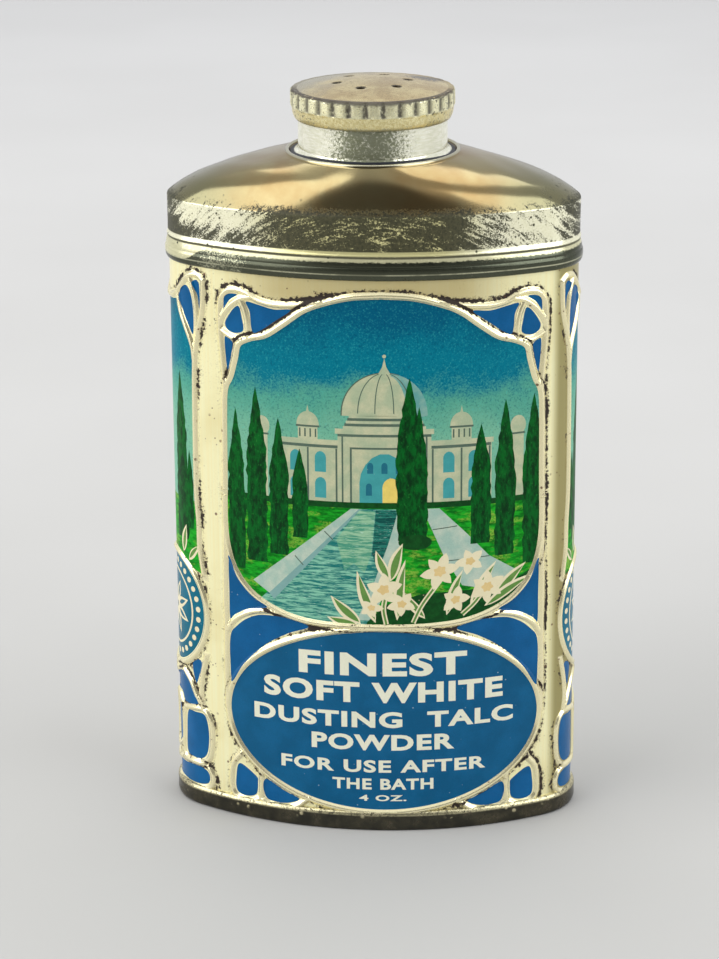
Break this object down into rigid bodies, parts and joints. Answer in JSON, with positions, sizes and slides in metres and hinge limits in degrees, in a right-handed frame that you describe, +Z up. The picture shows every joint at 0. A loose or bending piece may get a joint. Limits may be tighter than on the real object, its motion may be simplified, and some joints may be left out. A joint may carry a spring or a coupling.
{
  "type": "oval powder tin with a revolving sifter cap",
  "caption": "Flat oval tinplate powder tin with embossed printed faces, a domed shoulder, a short neck and a knurled sifter cap that turns to open or shut its holes.",
  "frame": {"origin": "middle of the base rim's resting face, under the neck's axis", "axes": "+Z up along the neck and cap axis, +X across the width to the right of the printed front face, the front face looks towards -Y"},
  "size_m": [0.0622, 0.0318, 0.1115],
  "materials": {
    "printed_tin": "gloss print on pale gold lacquer, rubbed and speckled with rust",
    "dark_tin": "dull dark steel with rust specks and a rubbed bright edge",
    "gold_lacquer": "gold-lacquered tinplate, glossy, tarnished dark in streaks",
    "bright_tin": "bright tinned steel with dark speckled tarnish",
    "solder": "blue-black tarnished soft solder",
    "waxed_paper": "matt waxed board",
    "cap_lacquer": "worn gold lacquer with grey patina and dark edges"
  },
  "bodies": {
    "tin": {"body_shell": "printed_tin", "bottom_end": "dark_tin", "shoulder_dome": "gold_lacquer", "neck_collar": "bright_tin", "neck_solder": "solder", "sifter_plate": "bright_tin"},
    "cap": {"sifter_cap": "cap_lacquer", "packing_disc": "waxed_paper"}
  },
  "joints": [
    {"name": "cap_turn", "type": "hinge", "parent": "tin", "child": "cap", "pos_m": [0, 0, 0.1075], "axis": [0, 0, 1], "range_deg": [0, 30]}
  ]
}
